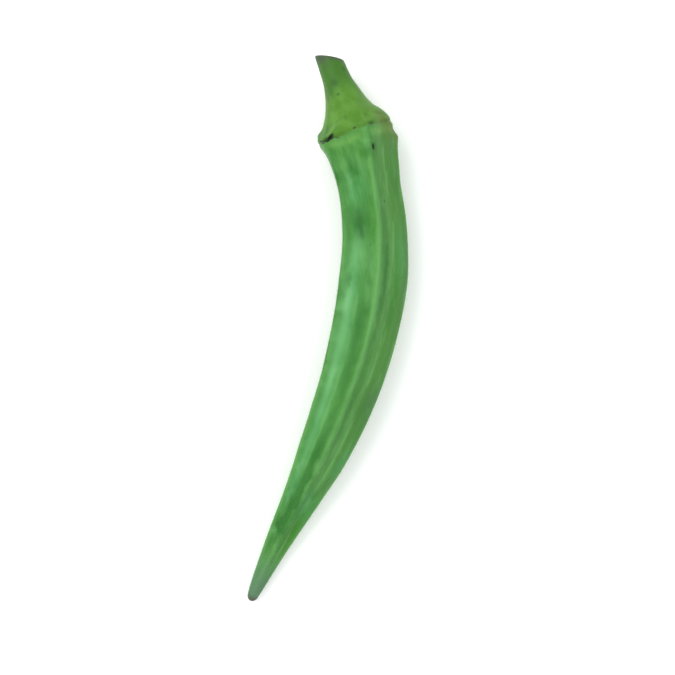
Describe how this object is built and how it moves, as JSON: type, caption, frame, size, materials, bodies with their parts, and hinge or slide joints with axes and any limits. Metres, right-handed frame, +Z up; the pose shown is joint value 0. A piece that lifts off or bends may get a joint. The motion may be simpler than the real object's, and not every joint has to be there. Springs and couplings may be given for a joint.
{
  "type": "okra pod",
  "caption": "Fresh green okra pod lying on its side, gently curved and ridged, with a cut stem, flared cap and tapered blunt tip.",
  "frame": {"origin": "centre of the pod's footprint, on the surface it lies on", "axes": "+Z up from the surface; +Y along the pod from its tip to its cut stem; +X to the side that the pod bows toward"},
  "size_m": [0.0284, 0.1264, 0.0183],
  "materials": {
    "okra_skin": "waxy plant skin with fine hairs"
  },
  "bodies": {
    "root": {"okra_pod": "okra_skin"}
  },
  "joints": []
}
